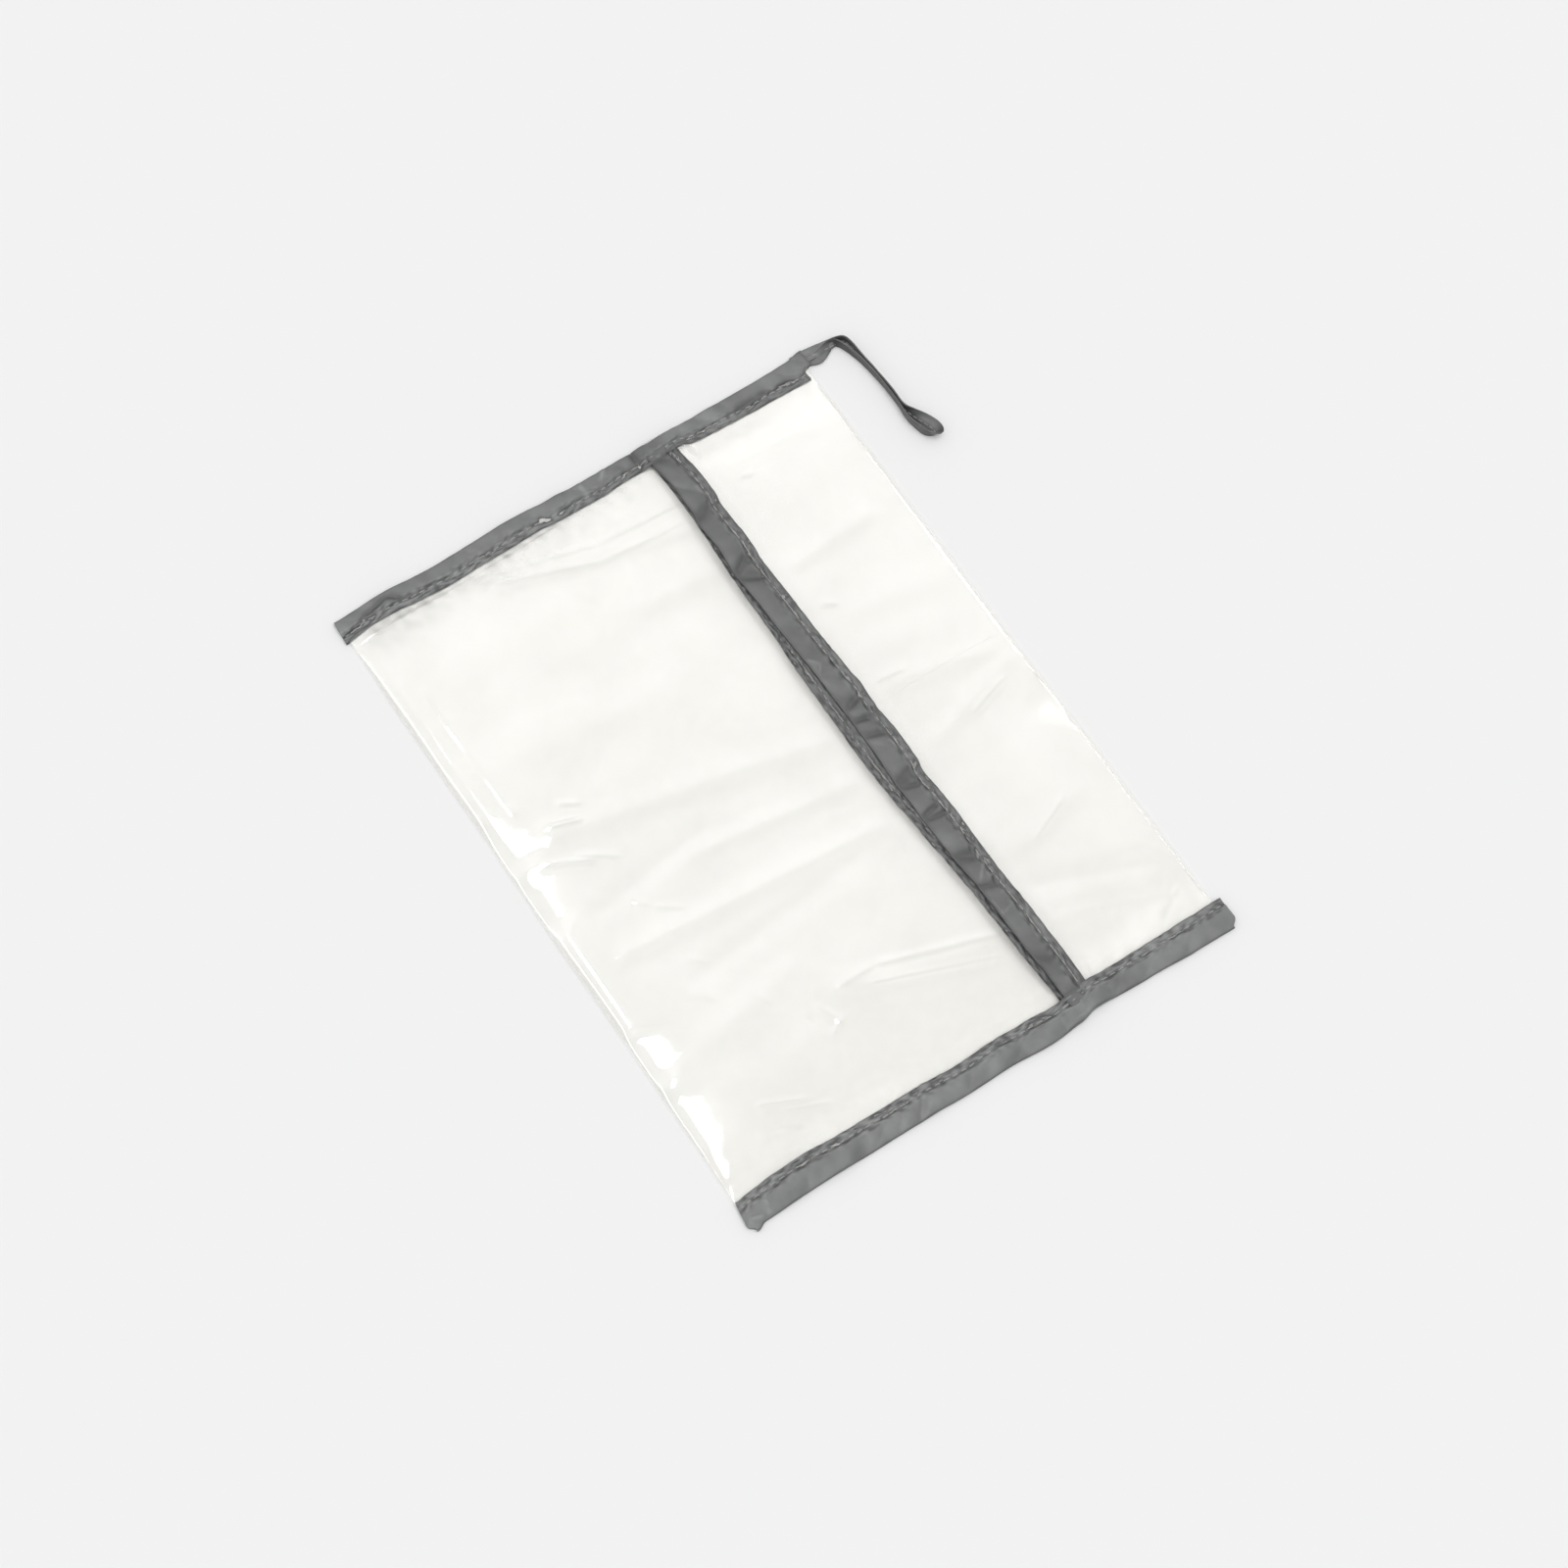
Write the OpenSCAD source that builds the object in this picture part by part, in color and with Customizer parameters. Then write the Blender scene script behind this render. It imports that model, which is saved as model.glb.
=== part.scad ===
// Clear film shoe bag with taped edges: one folded film envelope, two bound ends,
// an overlapping taped mouth along the front, and a hanging loop at one corner.
// The bag lies flat on its back, the long way along X, the front facing +Z.
// The origin is the centre of the underside of the back panel.

/* [Bag] */
// Length over both end bindings
bag_l = 351; // [300:1:420]
// Length of an end binding, across the bag
bag_w = 262; // [240:1:320]
// Y of the long fold beside the wide front panel
front_fold_y = -129.5; // [-130:0.5:-118]
// Y of the long fold beside the flap
flap_fold_y = 126.5; // [118:0.5:130]
// Height of the film on the front when the bag lies empty
puff_h = 8; // [7:0.5:16]
// Distance over which the front film rises from a bound end
end_ramp = 50; // [30:1:80]
// Distance over which the front film rises from a long fold
fold_ramp = 52; // [30:1:60]

/* [Film] */
// Thickness of one layer of film
film_t = 0.3; // [0.25:0.05:0.5]

/* [Binding tape] */
// Width of a folded binding
tape_w = 14.5; // [12:0.5:18]
// Thickness of one layer of tape
tape_t = 0.45; // [0.4:0.05:0.6]
// Distance from a binding's stitched edge to its row of stitches
stitch_inset = 3; // [2:0.5:4]
// Thickness of the sewing thread
thread_d = 0.4; // [0.3:0.05:0.5]

/* [Mouth] */
// Y of the middle of the flap edge binding, halfway along the bag
flap_edge_y = 47.5; // [30:0.5:60]
// How far the pocket edge binding peeks out under the flap edge binding
pocket_peek = 3.5; // [1:0.5:6]
// Turn of the mouth against the length of the bag, in degrees
mouth_skew = 0.98; // [0:0.01:1.5]
// Clearance between the two overlapping bindings
mouth_gap = 0.3; // [0.2:0.05:0.6]

/* [Hanging loop] */
// Width of the flat part of the strap at the corner of the bag
loop_root_w = 9.6; // [8:0.1:11]
// Length of the flat part of the strap
loop_root_l = 16; // [14:1:24]
// Length of the twisted run, where the strap stands on its edge
loop_run_l = 50; // [40:1:80]
// Height of the strap where it stands on its edge
loop_h = 5.5; // [4:0.5:8]
// Thickness of one strand of the strap
loop_t = 1.2; // [0.8:0.1:1.6]
// Length of the open eye at the tip
eye_l = 21; // [18:1:28]
// Width of the open eye over the strap
eye_w = 9.5; // [8:0.5:14]

/* [Hidden] */

film_colour = [0.93, 0.93, 0.9, 0.5];
tape_colour = [0.49, 0.5, 0.49];
thread_colour = [0.62, 0.61, 0.58];

eps = 0.01;
clearance = 0.3;
fold_gap = 0.3;
steps = 10;

// Heights of the sewn stack at an end: lower tape, two layers of film, upper tape
end_z = tape_t + 2 * film_t;
binding_t = end_z + tape_t;
end_x = bag_l / 2;
seam_x = end_x - tape_w;
film_end_x = end_x - tape_t;
// The back film lies on the ground and steps up into the end bindings over this length
step_l = 3;
step_x = seam_x - 1;

// Heights above the length curve at the mouth
pocket_lift = -film_t - tape_t;
flap_band_lift = tape_t + mouth_gap;
flap_film_lift = flap_band_lift + tape_t;
band_t = film_t + 2 * tape_t;
flap_end_x = seam_x - 1;
fold_lip_h = end_z - clearance;
flap_root_z = fold_lip_h + fold_gap;

// Threads lie on the floor of shallow grooves in the tape, just below its surface
groove_depth = thread_d * 0.75;
groove_w = thread_d + 0.1;
thread_h = groove_depth - 0.05;
thread_end = 2;

loop_root_x = -end_x + loop_root_w / 2;
loop_root_y = bag_w / 2 + clearance;
loop_root_z = 0.4;
loop_root_h = 1.6;
// The strap bends by the corner, then runs back along the bag and opens in the eye
loop_bend = [-end_x + 2.7, loop_root_y + loop_root_l + 2.3];
loop_run_angle = 3.5;
loop_eye_angle = 14;
run_w = 2 * loop_t;
run_end = loop_bend + loop_run_l * [cos(loop_run_angle), sin(loop_run_angle)];
// Makes the outline of drop() exactly as wide as its width
drop_fullness = 0.675;

// Height of the front film along the bag: low at the bound ends, level in the middle
function length_height(x) =
    end_z + (puff_h - end_z) * sin(90 * min(1, max(0, (seam_x - abs(x)) / end_ramp)));

// Height of the film across the bag, from a long fold at distance d
function width_height(d, low) =
    low + (puff_h + flap_film_lift + 2 * film_t - low) * sin(90 * min(1, max(0, d / fold_ramp)));

// Stations along the bag, closer together on the ramps
stations = concat(
    [-end_x],
    [for (i = [0:steps]) -seam_x + end_ramp * i / steps],
    [for (i = [0:steps]) seam_x - end_ramp * (1 - i / steps)],
    [end_x]);

// Everything between two heights above the length curve, over the whole width
module along_length(lift_low, lift_high) {
    rotate([90, 0, 0])
        linear_extrude(height = 2 * bag_w, center = true)
            polygon(concat(
                [for (x = stations) [x, length_height(x) + lift_high]],
                [for (i = [len(stations) - 1:-1:0])
                    [stations[i], lift_low == undef ? -end_z : length_height(stations[i]) + lift_low]]));
}

// Everything under the width curve that rises from a fold at fold_y towards the middle
module across_width(fold_y, low, inset) {
    side = fold_y < 0 ? 1 : -1;
    rotate([90, 0, 90])
        linear_extrude(height = 2 * bag_l, center = true)
            polygon(concat(
                [[fold_y + side * inset, -end_z]],
                [for (i = [0:steps])
                    [fold_y + side * max(inset, fold_ramp * i / steps),
                        width_height(fold_ramp * i / steps, low) - inset]],
                [[-fold_y * 2, puff_h * 2], [-fold_y * 2, -end_z]]));
}

// Everything under the top of the back film, which steps up into the end bindings
module under_back_film(rise) {
    rotate([90, 0, 0])
        linear_extrude(height = 2 * bag_w, center = true)
            polygon([
                [-end_x, tape_t + rise], [-step_x, tape_t + rise], [-step_x + step_l, rise],
                [step_x - step_l, rise], [step_x, tape_t + rise], [end_x, tape_t + rise],
                [end_x, -end_z * 2], [-end_x, -end_z * 2]]);
}

// Upright prism over a strip of ground along the mouth, between two distances from a line
module mouth_strip(y_low, y_high, half_l) {
    intersection() {
        rotate([0, 0, mouth_skew])
            translate([-bag_l, y_low, -end_z])
                cube([2 * bag_l, y_high - y_low, 4 * puff_h]);
        translate([-half_l, -bag_w, -end_z])
            cube([2 * half_l, 2 * bag_w, 4 * puff_h]);
    }
}

// Upright block of ground from x -half_l to half_l and from y_low to y_high
module ground_block(half_l, y_low, y_high) {
    translate([-half_l, y_low, -end_z])
        cube([2 * half_l, y_high - y_low, 4 * puff_h]);
}

// Tape folded over an end of the bag; side is -1 at the loop's end and 1 at the other
module end_binding(side) {
    color(tape_colour)
        difference() {
            translate([side > 0 ? seam_x : -end_x, -bag_w / 2, 0])
                cube([tape_w, bag_w, binding_t]);
            translate([side > 0 ? seam_x - 1 : -film_end_x, front_fold_y, tape_t])
                cube([tape_w - tape_t + 1, flap_fold_y - front_fold_y, 2 * film_t]);
            for (z = [-eps, binding_t - groove_depth])
                translate([side * (seam_x + stitch_inset) - groove_w / 2, -bag_w, z])
                    cube([groove_w, 2 * bag_w, groove_depth + eps]);
        }
}

// Row of thread across an end binding, on its top or on its underside
module end_thread(side, on_top) {
    color(thread_colour)
        translate([
            side * (seam_x + stitch_inset) - thread_d / 2,
            -bag_w / 2 + thread_end,
            on_top ? binding_t - groove_depth : groove_depth - thread_h])
            cube([thread_d, bag_w - 2 * thread_end, thread_h]);
}

// Back of the envelope: flat on the ground, with a low lip at the fold beside the flap
module back_panel() {
    color(film_colour) {
        difference() {
            intersection() {
                under_back_film(film_t);
                ground_block(film_end_x, front_fold_y, flap_fold_y);
            }
            under_back_film(0);
        }
        translate([-step_x + step_l, flap_fold_y - film_t, film_t])
            cube([2 * (step_x - step_l), film_t, fold_lip_h - film_t]);
    }
}

// Wide front panel, from its long fold up and over to the mouth
module front_panel() {
    color(film_colour)
        difference() {
            intersection() {
                along_length(undef, 0);
                across_width(front_fold_y, end_z, 0);
                ground_block(film_end_x, front_fold_y, bag_w);
                mouth_strip(-bag_w, flap_edge_y - pocket_peek + tape_w / 2 - tape_t, end_x);
            }
            intersection() {
                along_length(undef, -film_t);
                across_width(front_fold_y, end_z, film_t);
            }
            under_back_film(film_t);
        }
}

// Narrow front panel that laps over the mouth, from its long fold to its taped edge
module flap_panel() {
    color(film_colour)
        difference() {
            intersection() {
                along_length(undef, flap_film_lift + film_t);
                across_width(flap_fold_y, flap_root_z + film_t, 0);
                ground_block(flap_end_x, -bag_w, flap_fold_y);
                mouth_strip(flap_edge_y - tape_w / 2 + tape_t, bag_w, end_x);
            }
            intersection() {
                along_length(undef, flap_film_lift);
                across_width(flap_fold_y, flap_root_z + film_t, film_t);
            }
            translate([-bag_l, -bag_w, -end_z * 2])
                cube([2 * bag_l, 2 * bag_w, end_z * 2 + flap_root_z]);
        }
}

// Grooves along a mouth binding, for the threads on its top and on its underside
module mouth_grooves(y, lift) {
    for (z = [lift - eps, lift + band_t - groove_depth])
        intersection() {
            along_length(z, z + groove_depth + eps);
            mouth_strip(y - groove_w / 2, y + groove_w / 2, bag_l);
        }
}

// Tape folded over the free edge of the wide front panel, under the flap
module pocket_edge_binding() {
    edge = flap_edge_y - pocket_peek + tape_w / 2;
    color(tape_colour)
        difference() {
            intersection() {
                along_length(pocket_lift, pocket_lift + band_t);
                mouth_strip(edge - tape_w, edge, seam_x - 0.2);
            }
            intersection() {
                along_length(-film_t, 0);
                mouth_strip(edge - 2 * tape_w, edge - tape_t, end_x);
            }
            mouth_grooves(edge - tape_w + stitch_inset, pocket_lift);
            // the lower layer of tape stops where the panels come together
            for (side = [-1, 1])
                intersection() {
                    along_length(-2 * puff_h, eps - film_t);
                    translate([side > 0 ? step_x - step_l : -bag_l, 0, -puff_h])
                        cube([bag_l - step_x + step_l, bag_w, 3 * puff_h]);
                }
        }
}

// Tape folded over the free edge of the flap
module flap_edge_binding() {
    edge = flap_edge_y - tape_w / 2;
    color(tape_colour)
        difference() {
            intersection() {
                along_length(flap_band_lift, flap_band_lift + band_t);
                mouth_strip(edge, edge + tape_w, flap_end_x);
            }
            intersection() {
                along_length(flap_film_lift, flap_film_lift + film_t);
                mouth_strip(edge + tape_t, edge + 2 * tape_w, end_x);
            }
            mouth_grooves(edge + tape_w - stitch_inset, flap_band_lift);
        }
}

// Thread along a mouth binding, on its top or on its underside
module mouth_thread(y, lift, on_top) {
    z = lift + (on_top ? band_t - groove_depth : groove_depth - thread_h);
    color(thread_colour)
        intersection() {
            along_length(z, z + thread_h);
            mouth_strip(y - thread_d / 2, y + thread_d / 2, step_x - step_l - thread_end);
        }
}

// Outline of the eye: a drop with its point at the origin and its round end along +X
module drop(length, width) {
    polygon([for (t = [0:15:345])
        [length * (1 - cos(t)) / 2, drop_fullness * width * sin(t) * pow(sin(t / 2), 1.2)]]);
}

// Folded strap: flat at the corner, then standing on its edge, then open in an eye
module hang_loop() {
    root_right = loop_root_x + loop_root_w / 2;
    color(tape_colour) {
        translate([0, 0, loop_root_z])
            linear_extrude(height = loop_root_h)
                polygon([
                    [loop_root_x - loop_root_w / 2, loop_root_y],
                    [root_right, loop_root_y],
                    [root_right, loop_root_y + loop_root_l * 0.25],
                    [root_right - 1.5, loop_root_y + loop_root_l * 0.45],
                    [loop_bend[0] + run_w * 0.75, loop_root_y + loop_root_l * 0.8],
                    [loop_bend[0] + run_w * 0.75, loop_bend[1]],
                    [loop_bend[0] - run_w / 2, loop_bend[1]]]);
        translate([loop_bend[0], loop_bend[1], 0])
            rotate([0, 0, loop_run_angle])
                translate([-run_w / 2, -run_w / 2, 0])
                    cube([loop_run_l + run_w, run_w, loop_h]);
        translate([run_end[0], run_end[1], 0])
            rotate([0, 0, loop_eye_angle])
                linear_extrude(height = loop_h)
                    difference() {
                        drop(eye_l, eye_w);
                        translate([loop_t * 2, 0])
                            drop(eye_l - 3 * loop_t, eye_w - 2 * loop_t);
                    }
    }
}

// Thread that closes the folded strap, along the top of its standing run
module loop_thread() {
    color(thread_colour)
        translate([loop_bend[0], loop_bend[1], loop_h])
            rotate([0, 0, loop_run_angle])
                translate([run_w, -thread_d / 2, 0])
                    cube([loop_run_l - 3 * run_w, thread_d, thread_h]);
}

back_panel();
front_panel();
flap_panel();
end_binding(-1);  // loop_end_binding
end_binding(1);  // plain_end_binding
pocket_edge_binding();
flap_edge_binding();
hang_loop();
end_thread(-1, true);  // loop_end_needle_thread
end_thread(-1, false);  // loop_end_bobbin_thread
end_thread(1, true);  // plain_end_needle_thread
end_thread(1, false);  // plain_end_bobbin_thread
mouth_thread(flap_edge_y - pocket_peek - tape_w / 2 + stitch_inset, pocket_lift, true);  // pocket_edge_needle_thread
mouth_thread(flap_edge_y - pocket_peek - tape_w / 2 + stitch_inset, pocket_lift, false);  // pocket_edge_bobbin_thread
mouth_thread(flap_edge_y + tape_w / 2 - stitch_inset, flap_band_lift, true);  // flap_edge_needle_thread
mouth_thread(flap_edge_y + tape_w / 2 - stitch_inset, flap_band_lift, false);  // flap_edge_bobbin_thread
loop_thread();
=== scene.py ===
"""Looks of a clear-film shoe bag with grey taped edges, lying empty on its back.

X runs along the bag, Y across it and Z up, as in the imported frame. Lengths in this script are in
millimetres until a mesh is made.
"""
import math

import bmesh
import bpy
import numpy as np
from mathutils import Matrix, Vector, noise


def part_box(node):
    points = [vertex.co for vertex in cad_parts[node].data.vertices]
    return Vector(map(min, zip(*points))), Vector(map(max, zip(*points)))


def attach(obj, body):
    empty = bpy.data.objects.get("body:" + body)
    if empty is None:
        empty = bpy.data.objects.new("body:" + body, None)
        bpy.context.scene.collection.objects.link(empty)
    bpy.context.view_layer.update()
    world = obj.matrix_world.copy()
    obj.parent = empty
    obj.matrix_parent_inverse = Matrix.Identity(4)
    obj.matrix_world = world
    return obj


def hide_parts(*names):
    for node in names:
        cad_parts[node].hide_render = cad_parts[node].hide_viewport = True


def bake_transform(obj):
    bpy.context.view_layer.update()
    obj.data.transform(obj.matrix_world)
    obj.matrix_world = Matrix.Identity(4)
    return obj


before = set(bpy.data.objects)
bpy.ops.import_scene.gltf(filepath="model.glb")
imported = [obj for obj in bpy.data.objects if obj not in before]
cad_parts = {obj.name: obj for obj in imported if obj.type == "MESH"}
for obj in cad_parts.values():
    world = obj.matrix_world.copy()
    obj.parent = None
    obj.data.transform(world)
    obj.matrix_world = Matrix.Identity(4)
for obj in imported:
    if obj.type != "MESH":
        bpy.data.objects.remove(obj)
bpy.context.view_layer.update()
scene = bpy.context.scene

MM = 0.001

# ---------------------------------------------------------------------------- camera, light, floor

CAMERA_AZIMUTH = 56.42
CAMERA_ELEVATION = 66.79
CAMERA_DISTANCE = 1.7737
CAMERA_TARGET = Vector((0.00688, -0.00155, 0.0))
CAMERA_LENS = 89.4
CAMERA_SENSOR = 36
CAMERA_NEAR = 0.05
CAMERA_FAR = 50

KEY_TOWARDS = (0.3, 0.2, 1.0)
KEY_DISTANCE = 3
KEY_POWER = 1.27
KEY_ANGLE = 45
PANEL_DISTANCE = 2.0
# Soft boxes: name, direction, width, height, power
PANELS = [
    ("front_box", (-0.2, -0.24, 0.93), 0.8, 0.36, 19),
    ("fold_strip", (-0.3, -0.85, 0.5), 1.5, 0.3, 10),
    ("flap_box", (-0.34, 0.62, 0.72), 0.14, 0.14, 3.5),
    ("far_strip", (-0.33, 0.86, 0.4), 1.2, 0.06, 4),
]

# Brightness of the surroundings as light, and to a camera: as bright there as the floor
WORLD_STRENGTH = 0.63
HORIZON_STRENGTH = 0.88
# Brightness of the surroundings in a mirror: mean, swing of the waves, swing of the patches, and
# what is left near the horizon
MIRRORED_MEAN = 1.41
MIRRORED_WAVES = 0.6
MIRRORED_PATCHES = 0.3
MIRRORED_LOW = 0.2
# Radians of wave per unit of direction along X, and at its middle
WAVE_TURN = -6.0
WAVE_START = -2.0

FLOOR_HALF = 6
FLOOR_DROP = 0.0001
FLOOR_COLOUR = (0.88, 0.88, 0.88, 1)


def add_camera():
    azimuth, elevation = math.radians(CAMERA_AZIMUTH), math.radians(CAMERA_ELEVATION)
    back = Vector((math.sin(azimuth) * math.cos(elevation), -math.cos(azimuth) * math.cos(elevation),
                   math.sin(elevation)))
    camera = bpy.data.objects.new("camera", bpy.data.cameras.new("camera"))
    scene.collection.objects.link(camera)
    camera.location = CAMERA_TARGET + back * CAMERA_DISTANCE
    camera.rotation_mode = "QUATERNION"
    camera.rotation_quaternion = (-back).to_track_quat("-Z", "Y")
    camera.data.lens = CAMERA_LENS
    camera.data.sensor_width = CAMERA_SENSOR
    camera.data.clip_start = CAMERA_NEAR
    camera.data.clip_end = CAMERA_FAR
    scene.camera = camera


def add_lamp(name, kind, towards, distance, power):
    """Lamp that shines at the bag from a direction."""
    lamp = bpy.data.objects.new(name, bpy.data.lights.new(name, kind))
    scene.collection.objects.link(lamp)
    towards = Vector(towards).normalized()
    lamp.location = towards * distance
    lamp.rotation_euler = (-towards).to_track_quat("-Z", "Y").to_euler()
    lamp.data.energy = power
    return lamp


def add_panel(name, towards, width, height, power):
    """Soft box that is only mirrored in glossy surfaces and adds no light of its own."""
    lamp = add_lamp(name, "AREA", towards, PANEL_DISTANCE, power)
    lamp.data.shape = "RECTANGLE"
    lamp.data.size, lamp.data.size_y = width, height
    lamp.visible_diffuse = False
    lamp.data.use_shadow = False


class NodeMaker:
    """Adds nodes to a node tree. An input is given a plain value, or another node's output."""

    def __init__(self, tree):
        self.tree = tree

    def feed(self, node, inputs):
        for socket, value in inputs.items():
            if isinstance(value, bpy.types.NodeSocket):
                self.tree.links.new(value, node.inputs[socket])
            else:
                node.inputs[socket].default_value = value

    def add(self, kind, inputs=None, **settings):
        node = self.tree.nodes.new(kind)
        for setting, value in settings.items():
            setattr(node, setting, value)
        self.feed(node, inputs or {})
        return node

    def math(self, operation, *values, **settings):
        node = self.add("ShaderNodeMath", dict(enumerate(values)), operation=operation, **settings)
        return node.outputs["Value"]

    def remap(self, value, new_low, new_high, low=0, high=1, **settings):
        """A value that runs from low to high, brought to new_low to new_high."""
        inputs = {"Value": value, "From Min": low, "From Max": high, "To Min": new_low, "To Max": new_high}
        return self.add("ShaderNodeMapRange", inputs, **settings).outputs["Result"]

    def noise(self, place, scale, detail, inputs=None, **settings):
        inputs = {"Vector": place, "Scale": scale, "Detail": detail, **(inputs or {})}
        return self.add("ShaderNodeTexNoise", inputs, **settings).outputs["Fac"]

    def blend(self, share, first, second, **settings):
        """Mix of two colours."""
        inputs = {0: share, 6: first, 7: second}
        return self.add("ShaderNodeMix", inputs, data_type="RGBA", **settings).outputs[2]

    def ramp(self, value, first, second, low=0, high=1):
        """A colour that runs from first to second as the value runs from low to high."""
        node = self.add("ShaderNodeValToRGB", {"Fac": value})
        for element, place, colour in zip(node.color_ramp.elements, (low, high), (first, second)):
            element.position = place
            element.color = colour
        return node.outputs["Color"]

    def bump(self, height, strength, distance):
        inputs = {"Height": height, "Strength": strength, "Distance": distance}
        return self.add("ShaderNodeBump", inputs).outputs["Normal"]

    def surface(self, shader):
        """Makes a shader node the material's surface."""
        self.add("ShaderNodeOutputMaterial", {"Surface": shader.outputs[0]})

    def shade(self):
        """The number that sheet_piece stores at each point of a sheet: painted shade and light, with some
        uneven tone.
        """
        return self.add("ShaderNodeAttribute", attribute_name="shade").outputs["Fac"]


def new_material(name):
    material = bpy.data.materials.new(name)
    material.use_nodes = True
    material.node_tree.nodes.clear()
    return material, NodeMaker(material.node_tree)


def floor_material():
    """Plain pale backdrop board."""
    material, make = new_material("floor")
    board = make.add("ShaderNodeBsdfPrincipled", {
        "Base Color": FLOOR_COLOUR,
        "Roughness": 0.9,
        "Specular IOR Level": 0.0,
    })
    make.surface(board)
    return material


def studio_world():
    """Even white surroundings, which look like a room with light and dark places when mirrored."""
    world = bpy.data.worlds.new("studio")
    world.use_nodes = True
    make = NodeMaker(world.node_tree)
    direction = make.add("ShaderNodeTexCoord").outputs["Generated"]
    patches = make.noise(direction, 3.2, 0.5, {"W": 2.0}, noise_dimensions="4D")
    patches = make.remap(patches, -MIRRORED_PATCHES, MIRRORED_PATCHES, 0.3, 0.7)
    parts = make.add("ShaderNodeSeparateXYZ", {"Vector": direction}).outputs
    waves = make.math("SINE", make.math("MULTIPLY_ADD", parts["X"], WAVE_TURN, WAVE_START))
    level = make.math("ADD", make.math("MULTIPLY_ADD", waves, MIRRORED_WAVES, MIRRORED_MEAN), patches)
    above = make.remap(parts["Z"], MIRRORED_LOW, 1, 0.05, 0.5, interpolation_type="SMOOTHSTEP")
    rays = make.add("ShaderNodeLightPath").outputs
    strength = make.remap(rays["Is Glossy Ray"], WORLD_STRENGTH, make.math("MULTIPLY", level, above))
    strength = make.remap(rays["Is Camera Ray"], strength, HORIZON_STRENGTH)
    background = world.node_tree.nodes["Background"]
    make.feed(background, {"Color": (1, 1, 1, 1), "Strength": strength})
    scene.world = world


def add_lights_and_floor():
    studio_world()
    scene.view_settings.view_transform = "Standard"

    key = add_lamp("key", "SUN", KEY_TOWARDS, KEY_DISTANCE, KEY_POWER)
    key.data.angle = math.radians(KEY_ANGLE)
    key.visible_glossy = False
    for panel in PANELS:
        add_panel(*panel)

    floor = bpy.data.objects.new("floor", bpy.data.meshes.new("floor"))
    bm = bmesh.new()
    bmesh.ops.create_grid(bm, x_segments=2, y_segments=2, size=FLOOR_HALF)
    bm.to_mesh(floor.data)
    bm.free()
    scene.collection.objects.link(floor)
    floor.location.z = -FLOOR_DROP
    floor.data.materials.append(floor_material())


# ---------------------------------------------------------------------------- sizes

def node_box(node):
    """Lowest and highest corners of a CAD node, in millimetres."""
    low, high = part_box(node)
    return np.array(low) / MM, np.array(high) / MM


FRONT_LOW, FRONT_HIGH = node_box("front_panel")
END_LOW, END_HIGH = node_box("plain_end_binding")
MOUTH_LOW, MOUTH_HIGH = node_box("flap_edge_binding")

END_X = END_HIGH[0]
SEAM_X = END_LOW[0]
TAPE_W = END_X - SEAM_X
TAPE_Y = END_HIGH[1]
FRONT_FOLD = FRONT_LOW[1]
FLAP_FOLD = node_box("flap_panel")[1][1]
# Room for the film's ridges under the top of its CAD panel
RIDGE_ROOM = 1.2
PUFF = FRONT_HIGH[2] - RIDGE_ROOM

# The mouth runs a little askew: its tape's box is longer across than the tape is wide
MOUTH_MID = (MOUTH_LOW[1] + MOUTH_HIGH[1]) / 2
MOUTH_SLOPE = (MOUTH_HIGH[1] - MOUTH_LOW[1] - TAPE_W) / (MOUTH_HIGH[0] - MOUTH_LOW[0])

FILM_T = 0.25
TAPE_T = 0.38
STITCH_INSET = 3.5
STITCH_PITCH = 4.5
THREAD_R = 0.28

# Heights of the middle of each film in a bound end
BACK_Z = 0.65
FRONT_Z = 0.95
# Air between film and tape, and between the two tapes of the mouth
LAYER_AIR = 0.04
MOUTH_AIR = 0.7
# Steps from the middle of a film to the middle of the tape on it, and from the front panel to the flap
LEG_GAP = (FILM_T + TAPE_T) / 2 + LAYER_AIR
OVERLAP_LIFT = 2 * LEG_GAP + TAPE_T + MOUTH_AIR


# ---------------------------------------------------------------------------- soft shapes

SLICE_APART = 7.3
# How steeply a ridge falls away, and how many half widths its ends take to run out
RIDGE_FALL = 1.3
RIDGE_TIP = 2.5
CREASE_TIP = 3.8
FILM_SHARPNESS = 1.5
TAPE_SHARPNESS = 1.3


def ease(t):
    """0 below 0, 1 above 1, smooth between."""
    t = np.clip(t, 0.0, 1.0)
    return t * t * (3 - 2 * t)


def wobble(x, y, seed):
    """Gentle noise from about -1 to 1, the same at every run; each seed is a slice of its own."""
    x, y = np.broadcast_arrays(np.asarray(x, float), np.asarray(y, float))
    values = [noise.noise(Vector((a, b, SLICE_APART * seed))) for a, b in zip(x.ravel(), y.ravel())]
    return np.array(values).reshape(x.shape)


def along(points, t):
    """Smooth curve through a few (place, value) pairs."""
    places, values = np.array(points, float).T
    t = np.clip(t, places[0], places[-1])
    k = np.clip(np.searchsorted(places, t, side="right") - 1, 0, len(places) - 2)
    share = ease((t - places[k]) / (places[k + 1] - places[k]))
    return values[k] + (values[k + 1] - values[k]) * share


def stations(low, high, step):
    """Evenly spaced places from low to high, about a step apart."""
    return np.linspace(low, high, max(2, int(round(abs(high - low) / step)) + 1))


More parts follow.
